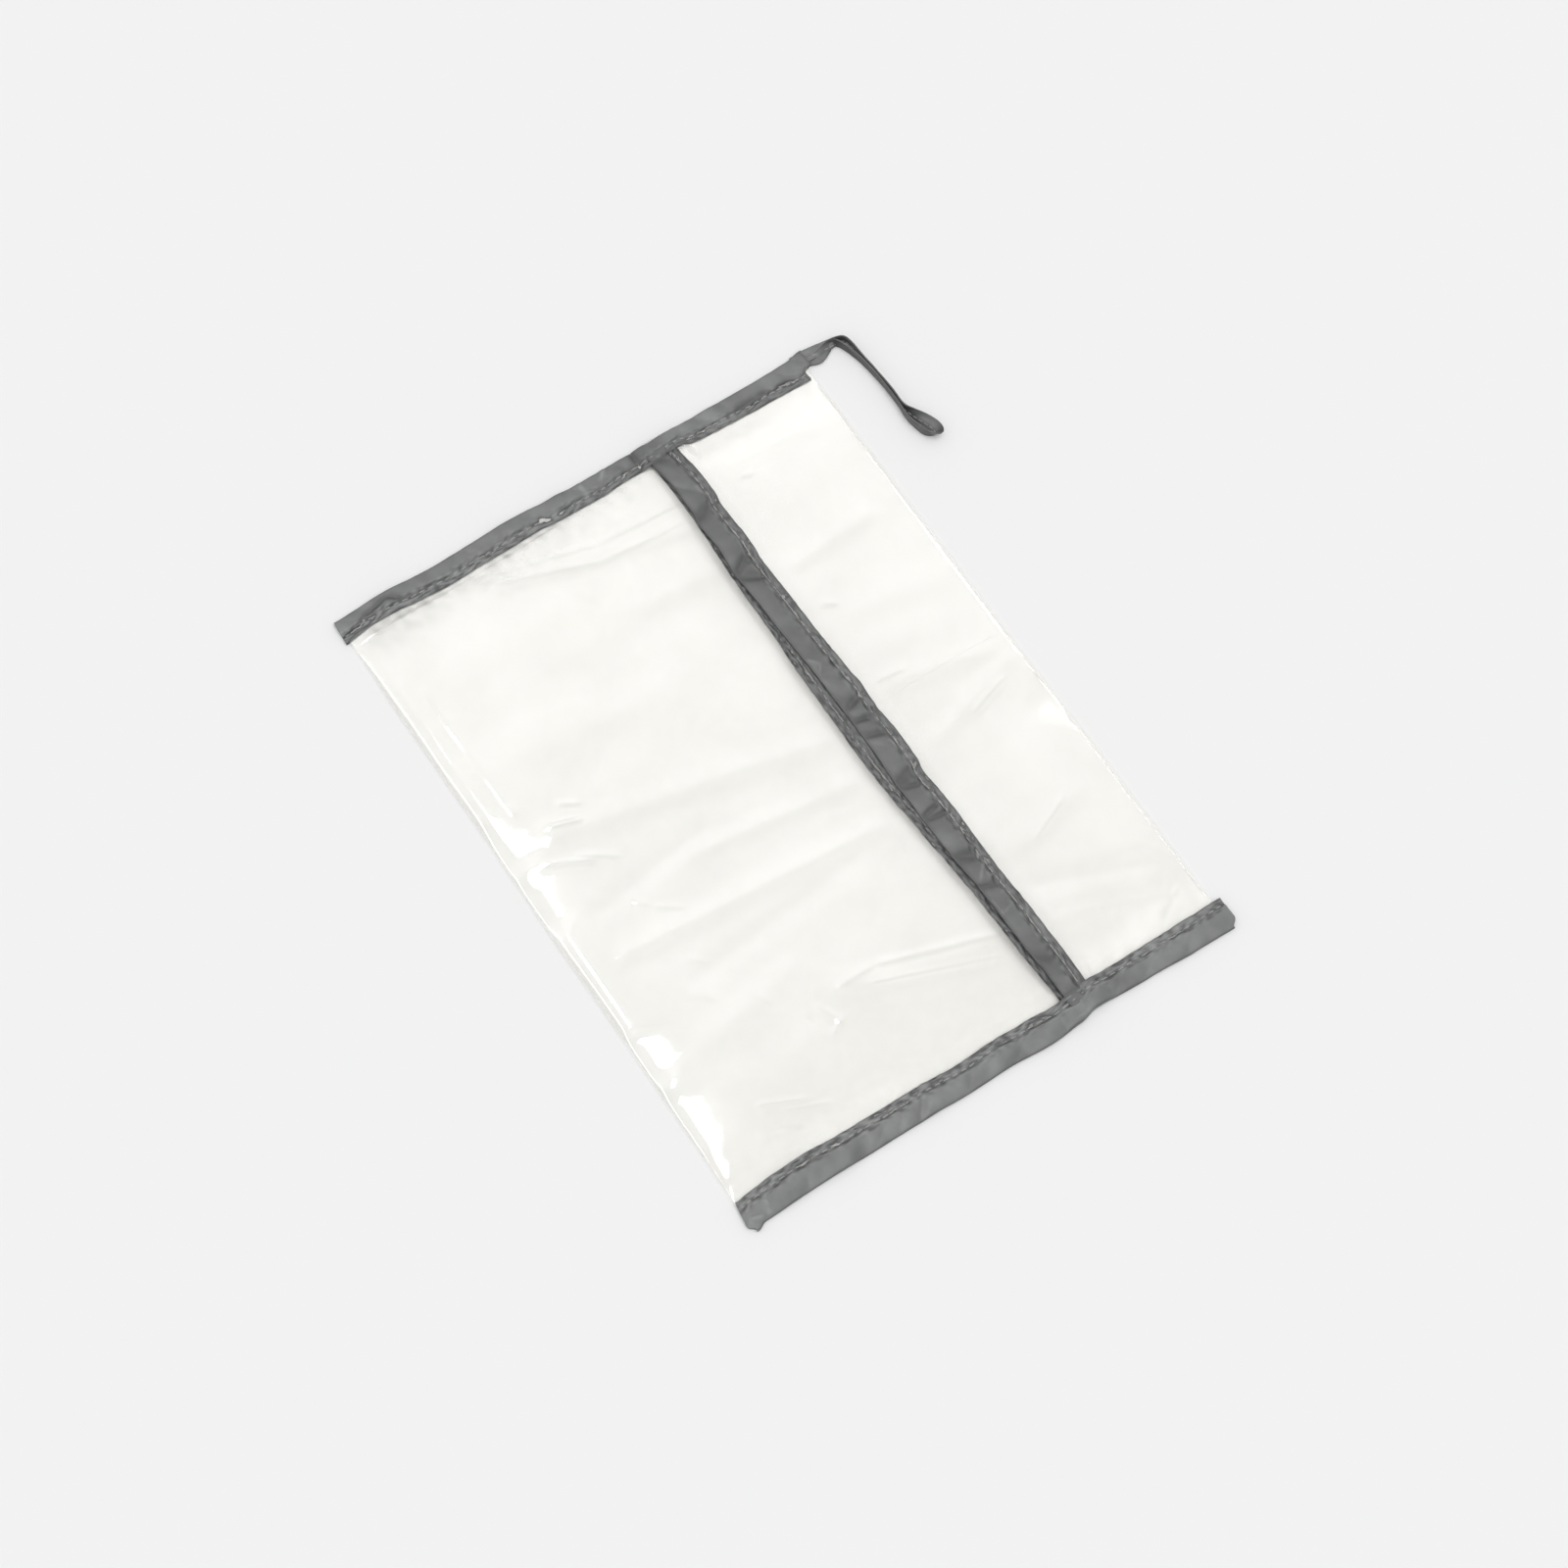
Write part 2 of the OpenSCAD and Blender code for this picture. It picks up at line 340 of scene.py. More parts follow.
def ridge_height(x, y, ridges, sharpness=1.0, tip=RIDGE_TIP):
    """Summed height of ridges (start, end, half width, height), each fading at both of its ends."""
    total = np.zeros(np.broadcast(x, y).shape)
    for (x0, y0), (x1, y1), width, height in ridges:
        dx, dy = x1 - x0, y1 - y0
        length = math.hypot(dx, dy)
        t = ((x - x0) * dx + (y - y0) * dy) / length
        off = np.abs(((x - x0) * dy - (y - y0) * dx) / length / width)
        end = tip * width
        fade = ease((t + width) / end) * ease((length + width - t) / end)
        total = total + height * fade * np.exp(-RIDGE_FALL * off ** (2 / sharpness))
    return total


# How far the inner and outer edges of an end binding stray outwards, along Y
INNER_WAVE = {
    -1: [(-131, 2.0), (-118, 3.2), (-104, 3.0), (-94, 2.2), (-75, 1.4), (-55, 1.8), (-28, 1.8), (-14, 0.7),
         (7, 0.6), (24, 1.5), (36, 0.9), (50, 2.0), (66, 0.6), (100, -0.4), (124, -1.1), (131, -1.1)],
    1: [(-131, 0.0), (-122, -0.8), (-108, -1.7), (-92, -2.0), (-75, -0.9), (-37, -0.2), (-11, 1.2), (3, 0.6),
        (24, 1.3), (41, 2.6), (58, 0.7), (131, 1.1)],
}
OUTER_WAVE = {
    -1: [(-131, -0.1), (-104, 0.4), (-78, -0.7), (-48, -0.1), (-30, 0.1), (-14, -1.2), (0, -1.6),
         (100, -1.6), (118, -1.3), (131, 0.6)],
    1: [(-131, 1.4), (-122, -0.5), (-96, -1.0), (-58, -0.6), (-33, -0.2), (-17, 0.5), (6, 0.3), (28, 1.9),
        (44, 0.9), (54, -1.0), (82, 0.1), (107, 1.4), (131, 1.9)],
}
# How far an end binding stands off the ground, along Y
END_LIFT = {
    -1: [(-131, 0.2), (-108, 2.2), (-76, 0.5), (-48, 1.1), (-20, 2.4), (10, 1.4), (45, 1.8), (90, 0.4),
         (131, 0.3)],
    1: [(-131, 0.2), (-100, 1.4), (-60, 0.3), (-10, 0.6), (45, 1.2), (88, 0.3), (131, 0.3)],
}
# Its outer edge lifts less than its inner one, by this share
OUTER_DROP = 0.6
# Thickness that the mouth's tapes add under an end binding
MOUTH_STACK = OVERLAP_LIFT + 2 * LEG_GAP

# How far the flap's tape strays from its line, along X: its sewn edge and its folded one
FLAP_SEWN_WAVE = [(-162, -1.4), (-145, -0.6), (-133, -0.6), (-124, -2.0), (-103, -1.6), (-88, -2.8),
                  (-65, -2.4), (-45, -2.2), (-20, -1.6), (-13, -0.8), (1, -1.6), (16, -0.8), (32, -1.0),
                  (39, -2.6), (50, -1.9), (63, -1.5), (99, -2.3), (123, -1.6), (162, -0.9)]
FLAP_FOLD_WAVE = [(-162, -1.7), (-145, -0.6), (-128, -1.0), (-122, -2.0), (-107, -1.6), (-90, -2.8),
                  (-65, -2.2), (-45, -1.6), (-20, -1.2), (16, -1.0), (39, -2.2), (63, -2.0), (82, -1.8),
                  (104, -0.8), (135, -0.5), (162, 0.9)]
# How far the lower tape peeks out from under the flap's, along X
POCKET_PEEK = [(-165, 1.2), (-145, 1.5), (-65, 4.9), (-20, 6.8), (22, 7.5), (39, 7.1), (63, 5.7), (82, 4.5),
               (104, 3.8), (135, 2.9), (165, 1.1)]


# How far past its tapes the film is lifted at the mouth, and the part of that in which it comes down
MOUTH_MARGIN = 7
MOUTH_EASE = 6


def by_side(table, x, y):
    """A table's value for the end that x is nearer to."""
    return np.where(np.asarray(x) < 0, along(table[-1], y), along(table[1], y))


def mouth_line(x):
    """Y of the middle of the flap's taped edge."""
    return MOUTH_MID + MOUTH_SLOPE * x + 0.3 * wobble(np.asarray(x) / 30, 0, 3)


def pocket_sewn_edge(x):
    """Y of the sewn edge of the lower tape, which peeks out from under the upper one."""
    return mouth_line(x) - TAPE_W / 2 - along(POCKET_PEEK, x)


def over_mouth(x, y):
    """1 where the mouth's tapes lie, 0 clear of them."""
    return ease((TAPE_W / 2 + MOUTH_MARGIN - np.abs(y - mouth_line(x))) / MOUTH_EASE)


def end_lift(x, y):
    """Lift of whatever is sewn into an end binding; its outer edge stays nearer to the ground."""
    outwards = np.clip((np.abs(x) - SEAM_X) / TAPE_W, 0, 1)
    return by_side(END_LIFT, x, y) * (1 - OUTER_DROP * outwards)


# Long soft ridges in the film: start, end, half width, height
SOFT_RIDGES = [
    ((-30, -112), (2, 26), 6.8, 0.96),
    ((14, -60), (26, 24), 4.5, 0.6),
    ((38, -112), (50, 24), 5.2, 0.9),
    ((66, -90), (58, 8), 6, -0.48),
    ((16, -112), (6, -40), 6, -0.48),
    ((-150, -66), (-124, 34), 6, 0.66),
    ((-104, -14), (-98, 32), 7.5, 0.48),
    ((104, -40), (128, 36), 6.8, 0.72),
    ((96, -110), (84, -46), 7.5, 0.48),
    ((146, -110), (152, -40), 5.2, 0.48),
    ((-70, -100), (-62, -10), 12, 0.48),
    ((-141, 62), (-138, 112), 6, 0.6),
    ((-80, 58), (-84, 108), 6, 0.72),
    ((-6, 62), (6, 120), 6.8, 0.72),
    ((30, 66), (12, 122), 5.2, 0.6),
    ((94, 62), (84, 112), 6.8, 0.6),
    ((112, 60), (134, 120), 6, -0.6),
    ((132, 60), (152, 116), 5.2, 0.48),
    ((-46, 66), (-40, 116), 9, 0.36),
]
# Sharper creases pressed into the film, in the same terms
CREASES = [
    ((-122, -115), (-44, -113), 1.3, 0.45),
    ((-138, 36), (-141, -8), 1.5, 0.46),
    ((-141, -8), (-157, -66), 1.7, 0.46),
    ((-128, 34), (-132, -12), 1.5, 0.36),
    ((-132, -12), (-152, -62), 1.8, 0.42),
    ((122, 36), (104, -18), 1.6, 0.53),
    ((133, 34), (110, -26), 1.6, 0.46),
    ((104, -18), (104, -38), 1.6, 0.59),
    ((105, -50), (122, -44), 1.2, 0.42),
    ((108, -56), (119, -52), 1.1, -0.38),
    ((81, -72), (95, -66), 1.1, 0.28),
    ((130, -98), (140, -76), 1.3, 0.6),
    ((138, -90), (147, -68), 1.3, 0.5),
    ((142, -100), (149, -84), 1.3, -0.5),
    ((116, -42), (122, -52), 1.2, 0.4),
    ((-33, -106), (-27, -88), 1.5, 0.81),
    ((-40, -94), (-34, -84), 1.2, 0.45),
    ((-14, -100), (-3, -84), 1.3, 0.5),
    ((16, -92), (25, -86), 1.2, 0.4),
    ((70, -92), (79, -86), 1.2, 0.35),
    ((-19, -116), (-7, -94), 1.6, 0.81),
    ((26, -84), (35, -72), 1.1, 0.25),
    ((55, -86), (63, -77), 1.1, 0.22),
    ((-75, -99), (-66, -93), 1.1, 0.2),
    ((-127, -29), (-117, -25), 1.1, 0.2),
    ((-57, 60), (-52, 68), 1.4, 0.68),
    ((-10, 60), (-8, 76), 1.3, 0.54),
    ((20, 112), (28, 88), 1.8, 0.68),
    ((96, 74), (84, 100), 2.2, 0.54),
    ((148, 118), (158, 102), 1.5, 0.54),
    ((-134, 64), (-130, 74), 1.6, 0.54),
]


# How high the film rucks up beside the loop end's binding, along Y
LOOP_END_RUCK = [(-128, 0.3), (-116, 1.4), (-96, 1.7), (-70, 1.1), (-48, 1.5), (-24, 1.3), (-2, 0.6),
                 (20, 0.8), (36, 0.2), (60, 0.0), (126, 0.0)]
# Distance from a bound end that each of these takes to grow or to fade in the film
PUFF_REACH = 46
LIFT_REACH = 45
RIDGE_REACH = 12
CREASE_REACH = 4
GATHER_START = 3
GATHER_REACH = 20
GATHER_HEIGHT = 0.22
RUCK_RISE = 3
RUCK_REACH = 9
# How far the flap takes to come down to its fold, and to come free of a bound end
FLAP_REACH = 40
FLAP_END_REACH = 14
# How far from the loop end's binding its painted shadow on the film reaches, and how strong the painted shade
# beside creases is
SHADE_REACH = 8
CREASE_SHADE = 0.32
# The back film's least height between the bound ends, its swing, and how soon it gets there
BACK_SLACK = 0.2
BACK_SWING = 0.12
BACK_REACH = 8


def film_height(x, y):
    """Height of the middle of the film on the bag's front."""
    from_end = SEAM_X - np.abs(x)
    inside = np.maximum(from_end, 0)
    lifted = end_lift(x, y) * ease(1 - from_end / LIFT_REACH)
    edge = FRONT_Z + 0.5 * over_mouth(x, y) + lifted
    level = PUFF * (0.82 + 0.18 * wobble(x / 90, y / 80, 1)) - FRONT_Z
    height = edge + level * np.sin(np.pi / 2 * np.clip(from_end / PUFF_REACH, 0, 1))
    ridges = ridge_height(x, y, SOFT_RIDGES) + 0.25 * wobble(x / 17, y / 38, 2)
    height = height + ease(from_end / RIDGE_REACH) * ridges
    creases = ridge_height(x, y, CREASES, FILM_SHARPNESS, CREASE_TIP)
    height = height + ease(from_end / CREASE_REACH) * creases
    ruck = along(LOOP_END_RUCK, y) * (np.asarray(x) < 0) * (1 + 0.5 * wobble(x / 6, y / 7, 9))
    height = height + ruck * (1 - np.exp(-inside / RUCK_RISE)) * np.exp(-inside / RUCK_REACH)
    gathers = np.sin(y / 1.9 + 2 * wobble(0, y / 25, 4)) * (0.6 + wobble(x / 9, y / 14, 8))
    gathered = ease(from_end / GATHER_START) * ease(1 - from_end / GATHER_REACH)
    return height + GATHER_HEIGHT * gathered * gathers


def flap_height(x, y):
    """Height of the middle of the flap's film, which lies over the front panel at the mouth."""
    free = ease((SEAM_X - np.abs(x)) / FLAP_END_REACH)
    lift = free * ease((FLAP_FOLD - y) / FLAP_REACH) + (1 - free) * over_mouth(x, y)
    return film_height(x, y) + OVERLAP_LIFT * lift


def film_painted_shade(x, y):
    """Painted shade that greys the film: beside its creases, and in streaks beside the loop end's binding,
    which stands above the film there and would shade it.
    """
    inside = np.maximum(SEAM_X - np.abs(x), 0)
    shadow_streaks = np.clip(0.6 + 0.8 * wobble(x / 12 + y / 10, y / 4.5 - x / 9, 11), 0, 1.2)
    binding_shadow = along(LOOP_END_RUCK, y) / 1.5 * (np.asarray(x) < 0) * shadow_streaks * np.exp(-inside / SHADE_REACH)
    painted_crease_shade = np.abs(ridge_height(x - 0.8, y + 0.4, CREASES, FILM_SHARPNESS, CREASE_TIP))
    return np.clip(binding_shadow + CREASE_SHADE * painted_crease_shade, 0, 1)


def back_height(x, y):
    """Height of the middle of the back film, which lies nearly flat between the bound ends."""
    in_tape = ease(1 - (SEAM_X - np.abs(x)) / BACK_REACH)
    slack = BACK_SLACK + BACK_SWING * (1 + wobble(x / 25, y / 25, 6))
    return slack + (BACK_Z - slack + end_lift(x, y)) * in_tape


# ---------------------------------------------------------------------------- meshes

# Edges that bend by less than this look rounded
SMOOTH_ANGLE = math.radians(50)
# A length that is safe to divide by
TINY = 1e-9


def mesh_object(name, points, faces):
    """Closed mesh piece from points in millimetres, smooth except at its sharp edges."""
    mesh = bpy.data.meshes.new(name)
    mesh.from_pydata((np.asarray(points, float) * MM).tolist(), [], faces)
    mesh.update()
    bm = bmesh.new()
    bm.from_mesh(mesh)
    bmesh.ops.recalc_face_normals(bm, faces=bm.faces)
    for edge in bm.edges:
        edge.smooth = edge.calc_face_angle(0) < SMOOTH_ANGLE
    for face in bm.faces:
        face.smooth = True
    bm.to_mesh(mesh)
    bm.free()
    piece = bpy.data.objects.new(name, mesh)
    scene.collection.objects.link(piece)
    return piece


def unit(vectors):
    """Vectors brought to length 1, along the last axis."""
    return vectors / np.maximum(np.linalg.norm(vectors, axis=-1, keepdims=True), TINY)


def grid_normals(grid):
    """Unit normals of a grid of points."""
    return unit(np.cross(np.gradient(grid, axis=0), np.gradient(grid, axis=1)))


def running_length(line):
    """Length along a line of points, from its first point to each of them."""
    return np.concatenate([[0], np.cumsum(np.linalg.norm(np.diff(line, axis=0), axis=1))])


def sheet_piece(name, grid, thickness, normals=None, shade=None):
    """Thin closed sheet whose middle surface is the grid; the UV map holds its own length and width.

    shade darkens or lightens its material from point to point: painted shade and light, with some uneven
    tone.
    """
    grid = np.asarray(grid, float)
    rows, columns = grid.shape[:2]
    shift = (grid_normals(grid) if normals is None else normals) * thickness / 2
    points = np.concatenate([(grid + shift).reshape(-1, 3), (grid - shift).reshape(-1, 3)])
    count = rows * columns

    def at(i, j, layer):
        return layer * count + i * columns + j

    faces = []
    for i in range(rows - 1):
        for j in range(columns - 1):
            faces.append((at(i, j, 0), at(i + 1, j, 0), at(i + 1, j + 1, 0), at(i, j + 1, 0)))
            faces.append((at(i, j, 1), at(i, j + 1, 1), at(i + 1, j + 1, 1), at(i + 1, j, 1)))
    for i in range(rows - 1):
        for j in (0, columns - 1):
            faces.append((at(i, j, 0), at(i, j, 1), at(i + 1, j, 1), at(i + 1, j, 0)))
    for j in range(columns - 1):
        for i in (0, rows - 1):
            faces.append((at(i, j, 0), at(i, j + 1, 0), at(i, j + 1, 1), at(i, j, 1)))
    piece = mesh_object(name, points, faces)
    run = running_length(grid[:, columns // 2]) * MM
    rise = running_length(grid[rows // 2]) * MM
    corners = np.array([loop.vertex_index for loop in piece.data.loops]) % count
    uv = np.stack([run[corners // columns], rise[corners % columns]], axis=1)
    piece.data.uv_layers.new(name="cloth").data.foreach_set("uv", uv.ravel())
    if shade is not None:
        worn = piece.data.attributes.new("shade", "FLOAT", "POINT")
        worn.data.foreach_set("value", np.tile(np.asarray(shade, np.float32).ravel(), 2))
    return piece


def tube_piece(name, path, radius, sides=6):
    """Closed tube along a path."""
    path = np.asarray(path, float)
    tangent = unit(np.gradient(path, axis=0))
    across = unit(np.cross(tangent, (0.0, 0.0, 1.0)))
    over = np.cross(across, tangent)
    turn = 2 * np.pi * np.arange(sides) / sides
    ring = np.cos(turn)[None, :, None] * across[:, None] + np.sin(turn)[None, :, None] * over[:, None]
    points = (path[:, None] + radius * ring).reshape(-1, 3)
    faces = [tuple(range(sides - 1, -1, -1))]
    for i in range(len(path) - 1):
        for k in range(sides):
            a, b = i * sides + k, i * sides + (k + 1) % sides
            faces.append((a, b, b + sides, a + sides))
    faces.append(tuple((len(path) - 1) * sides + k for k in range(sides)))
    return mesh_object(name, points, faces)


# ---------------------------------------------------------------------------- materials

# What passes through the film, its milk, and the grey of its painted shade beside the loop end's binding and
# along creases
FILM_TINT = (1, 0.9998, 0.9937, 1)
FILM_MILK = (1.0, 0.982, 0.957, 1)
FILM_PAINTED_SHADE = (0.42, 0.42, 0.39, 1)
# Density seen square on, which is cloudy, seen edge-on, the same for light that passes on to other
# surfaces, and what its painted shade adds
FILM_CLOUDS = (0.13, 0.22)
FILM_EDGE = 0.85
FILM_EDGE_PASSING = 0.32
FILM_PAINTED_SHADE_DENSITY = 0.3
TAPE_DYES = ((0.118, 0.122, 0.121, 1), (0.16, 0.165, 0.163, 1))
THREAD_DYES = ((0.22, 0.217, 0.205, 1), (0.42, 0.413, 0.39, 1))
# Pitch of the tape's weave along and across it, in metres
WARP_PITCH = 0.00042
WEFT_PITCH = 0.00034


def film_material():
    """Clear, slightly milky film: see-through and glossy, denser where it is seen edge-on.

    Light on its way to other surfaces passes nearly unhindered, as through real film.
    """
    material, make = new_material("film")
    shade = make.shade()
    place = make.add("ShaderNodeTexCoord").outputs["Object"]
    rays = make.add("ShaderNodeLightPath").outputs
    passing = make.math("MAXIMUM", rays["Is Shadow Ray"], rays["Is Diffuse Ray"])
    clouds = make.remap(make.noise(place, 30, 3), *FILM_CLOUDS, 0.35, 0.7)
    edge_on = make.add("ShaderNodeLayerWeight", {"Blend": 0.3}).outputs["Facing"]
    square_density = make.remap(passing, clouds, 0)
    edge_density = make.remap(passing, FILM_EDGE, FILM_EDGE_PASSING)
    density = make.remap(edge_on, square_density, edge_density)
    # Painted shade makes the film denser and greyer
    density = make.math("MULTIPLY_ADD", shade, FILM_PAINTED_SHADE_DENSITY, density, use_clamp=True)
    crinkles = make.noise(place, 38, 0.6, {"Distortion": 0.8})
    milk = make.add("ShaderNodeBsdfPrincipled", {
        "Base Color": make.blend(shade, FILM_MILK, FILM_PAINTED_SHADE),
        "Roughness": 0.07,
        "IOR": 2.6,
        "Normal": make.bump(crinkles, 0.25, 0.0005),
    })
    clear = make.add("ShaderNodeBsdfTransparent", {"Color": FILM_TINT})
    inputs = {"Fac": density, 1: clear.outputs["BSDF"], 2: milk.outputs["BSDF"]}
    make.surface(make.add("ShaderNodeMixShader", inputs))
    return material


def tape_material():
    """Grey woven tape: fine plain weave, a soft sheen and slight unevenness in its dye."""
    material, make = new_material("woven_tape")
    place = make.add("ShaderNodeUVMap", uv_map="cloth").outputs["UV"]

    def threads(direction, pitch):
        inputs = {
            "Vector": place,
            "Scale": math.pi / 10 / pitch,
            "Distortion": 0.6,
            "Detail": 1,
            "Detail Scale": 2,
        }
        return make.add("ShaderNodeTexWave", inputs, bands_direction=direction).outputs["Fac"]

    weave = make.math("MULTIPLY", threads("Y", WARP_PITCH), threads("X", WEFT_PITCH))
    dye = make.ramp(make.noise(place, 130, 4), *TAPE_DYES, 0.3, 0.75)
    dye = make.blend(0.2, dye, weave, blend_type="MULTIPLY")
    # The dye is darkened and lightened by the sheet's shade, which holds painted shade and light
    dye = make.add("ShaderNodeVectorMath", {0: dye, "Scale": make.shade()}, operation="SCALE")
    cloth = make.add("ShaderNodeBsdfPrincipled", {
        "Base Color": dye.outputs["Vector"],
        "Roughness": 0.38,
        "IOR": 1.6,
        "Sheen Weight": 0.12,
        "Sheen Roughness": 0.4,
        "Normal": make.bump(weave, 0.5, 0.00012),
    })
    make.surface(cloth)
    return material


def thread_material():
    """Pale grey sewing thread with the twist of its plies."""
    material, make = new_material("sewing_thread")
    place = make.add("ShaderNodeTexCoord").outputs["Object"]
    inputs = {"Vector": place, "Scale": 900}
    twist = make.add("ShaderNodeTexWave", inputs, bands_direction="DIAGONAL").outputs["Fac"]
    yarn = make.add("ShaderNodeBsdfPrincipled", {
        "Base Color": make.ramp(twist, *THREAD_DYES),
        "Roughness": 0.6,
        "Sheen Weight": 0.3,
        "Normal": make.bump(twist, 0.6, 0.0001),
    })
    make.surface(yarn)
    return material


add_camera()
add_lights_and_floor()
MATERIALS = {"film": film_material(), "tape": tape_material(), "thread": thread_material()}


def finish_piece(piece, slot, node):
    piece.data.materials.append(MATERIALS[slot])
    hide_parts(node)


def sew_flap(piece):
    """Bakes the transform of a piece of the flap into its mesh."""
    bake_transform(piece)


# ---------------------------------------------------------------------------- film panels

# Width of the rounded part of each long fold, along X: wide where the film bulges, narrow where it
# is pressed
FRONT_FOLD_W = [(-165, 8), (-54, 8), (-28, 30), (-19, 15), (-10, 25), (6, 20), (18, 7), (68, 7), (78, 25),
                (91, 24), (101, 11), (112, 28), (125, 26), (140, 19), (151, 11), (165, 6)]
FLAP_FOLD_W = [(-165, 3.5), (24, 3.5), (42, 24), (60, 3.5), (165, 3.5)]
# The film is one sheet, 0.522 by 0.35 metres, counted panel by panel from fold to fold
# Radius of the roll at the foot of a fold, in the open and where it is bound
FOLD_R = 0.7
BOUND_FOLD_R = 0.2
FOLD_REACH = 25
# How far a fold strays from a straight line, and how far from a bound end it does so freely
FOLD_STRAY = 0.8
STRAY_REACH = 20
ROLL_STEPS = 6
RISE_STEPS = 24
# Spacing of the film's points, in the open, inside a binding and across the back
FILM_STEP = 1.1
BOUND_STEP = 2.5
BACK_STEPS = 86
# The film ends short of the tape's fold, and its free edge short of the same at the mouth
FILM_END = END_X - 1.6
EDGE_SHORT = 1


def fold_rows(fold_y, xs, height):
    """Film round a long fold, from under the bag up to its level front: one row of points for each x."""
    side = 1 if fold_y < 0 else -1
    fold_w = along(FRONT_FOLD_W if side > 0 else FLAP_FOLD_W, xs)
    from_end = SEAM_X - np.abs(xs)
    radius = BOUND_FOLD_R + (FOLD_R - BOUND_FOLD_R) * ease(from_end / FOLD_REACH)
    back = back_height(xs, fold_y)
    stray = FOLD_STRAY * wobble(xs / 42, fold_y, 5) * ease(from_end / STRAY_REACH)
    columns = []
    for angle in np.radians(np.linspace(-90, -15, ROLL_STEPS)):
        y = fold_y + stray + side * radius * (1 - np.cos(angle))
        columns.append(np.stack([xs, y, back + radius * (1 + np.sin(angle))], axis=1))
    for angle in np.linspace(0, np.pi / 2, RISE_STEPS):
        inwards = fold_w * (1 - np.cos(angle))
        y = fold_y + stray * np.cos(angle) + side * inwards
        foot = back + radius
        z = foot + (height(xs, y) - foot) * np.sin(angle)
        columns.append(np.stack([xs, y, z], axis=1))
    return np.stack(columns, axis=1)


def panel_rows(fold_y, xs, last, height):
    """A front panel of film, from its long fold to its free edge at the mouth."""
    roll = fold_rows(fold_y, xs, height)
    side = 1 if fold_y < 0 else -1
    first = roll[:, -1, 1:2]
    steps = int(np.mean(np.abs(last - first[:, 0])) / FILM_STEP)
    t = np.linspace(0, 1, steps + 1)[1:]
    y = first + (last[:, None] - first) * t
    x = np.repeat(xs[:, None], steps, axis=1)
    return np.concatenate([roll, np.stack([x, y, height(x, y)], axis=2)], axis=1)


def film_piece(name, grid, node, normals=None):
    """Panel of film, greyed by painted shade."""
    shade = film_painted_shade(grid[..., 0], grid[..., 1])
    piece = sheet_piece(name, grid, FILM_T, normals, shade)
    finish_piece(piece, "film", node)
    return piece


def mirrored_places(half):
    """Places from 0 outwards, and the same on the other side of 0."""
    return np.concatenate([-half[::-1], half[1:]])


def build_film():
    half = np.concatenate([stations(0, SEAM_X, FILM_STEP), stations(SEAM_X, FILM_END, BOUND_STEP)[1:]])
    xs = mirrored_places(half)

    free_edge = pocket_sewn_edge(xs) + TAPE_W - EDGE_SHORT
    front = panel_rows(FRONT_FOLD, xs, free_edge, film_height)
    piece = film_piece("film_front", front, "front_panel")
    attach(piece, "bag")

    flap = panel_rows(FLAP_FOLD, xs, mouth_line(xs) - TAPE_W / 2 + EDGE_SHORT, flap_height)
    normals = grid_normals(flap)
    middle = len(half) - 1
    for name, side, rows in (("a", -1, slice(0, middle + 1)), ("b", 1, slice(middle, None))):
        piece = film_piece(f"film_flap_{name}", flap[rows], "flap_panel", normals[rows])
        sew_flap(piece)

    first, last = front[:, 0, 1:2], flap[:, 0, 1:2]
    y = first + (last - first) * np.linspace(0, 1, BACK_STEPS)
    x = np.repeat(xs[:, None], BACK_STEPS, axis=1)
    back = np.stack([x, y, back_height(x, y)], axis=2)
    piece = sheet_piece("film_back", back, FILM_T, shade=np.zeros_like(x))
    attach(piece, "bag")
    finish_piece(piece, "film", "back_panel")


# ---------------------------------------------------------------------------- tapes and threads

# Look of each tape: tone, darkness of the sewn edge, of the folded edge, and of the painted shade in the
# wrinkles at places along the tape. The mouth's tapes have lower tones than the end bindings, though all
# are one tape: painted shade
MOUTH_LOOK = (0.62, 0.7, 0.8, [(-165, 0.9), (-60, 1.4), (165, 1.5)])
POCKET_LOOK = (0.42, 0.3, 0.3, [(-165, 1.2), (-60, 2.2), (60, 2.2), (165, 1.0)])
LOOP_END_LOOK = (0.98, 0.5, 0.15, [(-131, 1.6), (-90, 1.2), (-30, 0.8), (30, 0.5), (131, 0.6)])
PLAIN_END_LOOK = (0.98, 0.5, 0.2, [(-131, 1.5), (0, 1.2), (131, 1.2)])

LEG_STEPS = 26
TURN_STEPS = 5
# How far a folded tape's turn bulges, as a share of half its height
TURN_SHARE = 0.9
# Spacing of a tape's rows along it
TAPE_STEP = 0.8

# How far the mouth's tapes and seams run on under the end bindings, and how far the end bindings'
# seams stop short of their cut ends
MOUTH_TAPE_RUN_ON = 8
SEAM_RUN_ON = 2
SEAM_SHORT = 1.5

# A stitch: how many points draw it, the shares of its pitch in which it shows and dives, how deep it
# dives, and how proud the two threads lie, in radii
STITCH_POINTS = 10
STITCH_SHARE = 0.72
STITCH_DIVE = 0.14
STITCH_DEPTH = 0.45
NEEDLE_PROUD = 0.8
BOBBIN_PROUD = 0.3

# Across a tape, from its sewn edge: the width of its rumpled margin, where it starts to bow up, and
# where it puckers between stitches
RUMPLE_W = 7.0
BELLY_START = 3.8
PUCKER_INSET = 5.6
# Depth of crease beyond which a tape looks no darker, and the limits of its shade
DEEPEST_CREASE = -1
TAPE_SHADES = (0.25, 1.7)

